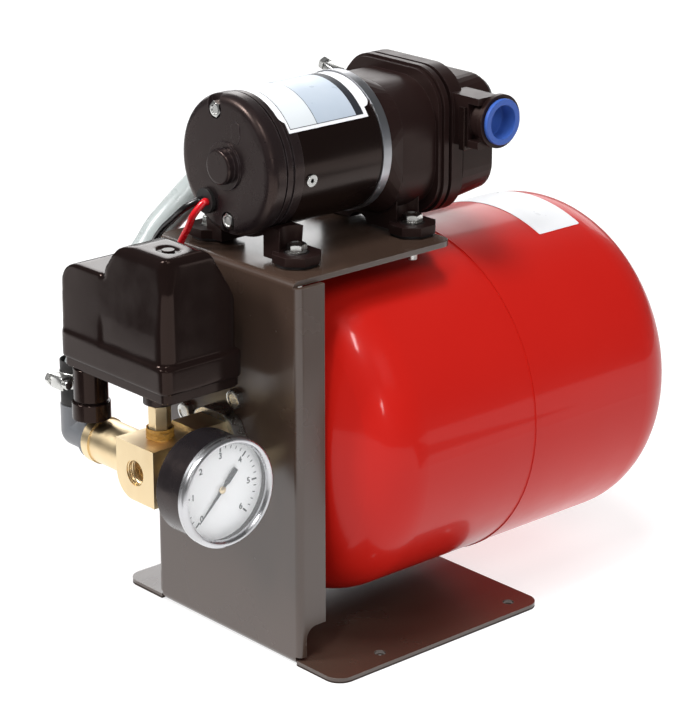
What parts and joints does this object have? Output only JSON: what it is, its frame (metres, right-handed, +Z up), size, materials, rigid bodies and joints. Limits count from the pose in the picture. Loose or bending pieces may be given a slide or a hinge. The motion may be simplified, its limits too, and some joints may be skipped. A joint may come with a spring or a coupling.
{
  "type": "booster pump set",
  "caption": "Folded steel frame carrying a lying pressure vessel, a diaphragm pump with motor on its shelf, and a brass manifold with pressure switch and dial gauge.",
  "frame": {"origin": "centre of the base plate's underside", "axes": "+Y along the pressure vessel from the upright to its domed rear end, +Z up, +X towards the side on which the gauge's dial looks out"},
  "size_m": [0.2012, 0.3876, 0.316],
  "materials": {
    "frame_paint": "satin powder coat",
    "tank_paint": "gloss enamel",
    "zinc": "bright zinc",
    "bladder": "matt rubber",
    "brass": "machined brass",
    "black_plastic": "satin",
    "grey_plastic": "satin",
    "gauge_black": "satin enamel",
    "chrome": "polished",
    "glass": "clear",
    "dial_white": "matt white",
    "needle_black": "matt",
    "hose_pvc": "milky translucent hose",
    "red_pvc": "wire insulation",
    "black_pvc": "wire insulation",
    "cap_paint": "satin black, die cast",
    "can_paint": "semi-gloss black",
    "magnet": "sintered ferrite",
    "steel": "ground",
    "laminations": "varnished laminations",
    "copper": "turned copper",
    "ring_alloy": "as turned",
    "pump_plastic": "satin moulding",
    "cast_alloy": "die cast",
    "blue_plastic": "moulded",
    "black_rubber": "moulded",
    "white_plastic": "moulded"
  },
  "bodies": {
    "set": {"bracket": "frame_paint", "tank_front_shell": "tank_paint", "tank_rear_shell": "tank_paint", "tank_bladder": "bladder", "tank_flange": "zinc", "tank_screws": "zinc", "lock_nut": "zinc", "air_valve": "brass", "manifold": "brass", "switch_nipple": "brass", "gauge_stem": "brass", "gauge_case": "gauge_black", "gauge_bezel": "chrome", "gauge_glass": "glass", "gauge_dial": "dial_white", "gauge_movement": "brass", "bourdon_tube": "brass", "hose_elbow": "grey_plastic", "hose": "hose_pvc", "hose_clamps": "zinc", "pump_elbow": "black_plastic", "switch_base": "black_plastic", "cable_gland": "black_plastic", "head_screws": "zinc", "terminal_block": "white_plastic", "switch_spring": "steel", "switch_flange": "gauge_black", "red_wire": "red_pvc", "black_wire": "black_pvc", "grommets": "black_rubber", "motor_can": "can_paint", "motor_cap": "cap_paint", "through_bolts": "zinc", "magnets": "magnet", "brush_gear": "black_plastic", "motor_ring": "ring_alloy", "can_rivet": "zinc", "pump_housing": "pump_plastic", "wobble_plate": "cast_alloy", "diaphragm": "black_rubber", "pump_head": "pump_plastic", "port_clips": "black_plastic", "front_saddle": "pump_plastic", "rear_saddle": "pump_plastic", "feet": "black_rubber", "foot_bolts": "zinc", "rivet_nuts": "zinc"},
    "rotor": {"rotor_shaft": "steel", "armature": "laminations", "commutator": "copper", "eccentric": "cast_alloy"},
    "pointer": {"gauge_needle": "needle_black"},
    "sector": {"gauge_sector": "brass"},
    "lever": {"contact_lever": "steel"},
    "plunger": {"switch_plunger": "steel"},
    "valve_pin": {"valve_core": "brass"},
    "dust_cap": {"valve_cap": "black_plastic"},
    "plug": {"inlet_plug": "blue_plastic"},
    "cover": {"switch_cover": "black_plastic", "cover_screw": "steel"}
  },
  "joints": [
    {"name": "rotor_spin", "type": "hinge", "parent": "set", "child": "rotor", "pos_m": [0, -0.02, 0.276], "axis": [0, 1, 0], "continuous": true},
    {"name": "pointer_turn", "type": "hinge", "parent": "set", "child": "pointer", "pos_m": [0.0531, -0.125, 0.116], "axis": [-1, 0, 0], "range_deg": [0, 270], "stiffness_Nm_per_rad": 0.002},
    {"name": "sector_turn", "type": "hinge", "parent": "set", "child": "sector", "pos_m": [0.043, -0.125, 0.1021], "axis": [-1, 0, 0], "range_deg": [-36.1, 0]},
    {"name": "plunger_lift", "type": "slide", "parent": "set", "child": "plunger", "axis": [0, 0, 1], "range_m": [0, 0.0008], "stiffness_N_per_m": 1400, "deforming": ["switch_spring"]},
    {"name": "lever_tilt", "type": "hinge", "parent": "set", "child": "lever", "pos_m": [-0.019, -0.125, 0.1872], "axis": [0, -1, 0], "range_deg": [0, 2.42]},
    {"name": "valve_pin_press", "type": "slide", "parent": "set", "child": "valve_pin", "axis": [0, -1, 0], "range_m": [0, 0.0015], "stiffness_N_per_m": 300},
    {"name": "dust_cap_pull", "type": "slide", "parent": "set", "child": "dust_cap", "axis": [0, 1, 0], "range_m": [0, 0.013]},
    {"name": "plug_pull", "type": "slide", "parent": "set", "child": "plug", "axis": [1, 0, 0], "range_m": [0, 0.02]},
    {"name": "cover_lift", "type": "slide", "parent": "set", "child": "cover", "axis": [0, 0, 1], "range_m": [0, 0.06]}
  ],
  "couplings": [
    {"joint": "sector_turn", "follows": "pointer_turn", "ratio": -0.13333},
    {"joint": "lever_tilt", "follows": "plunger_lift", "rad_per_m": 52.632}
  ]
}
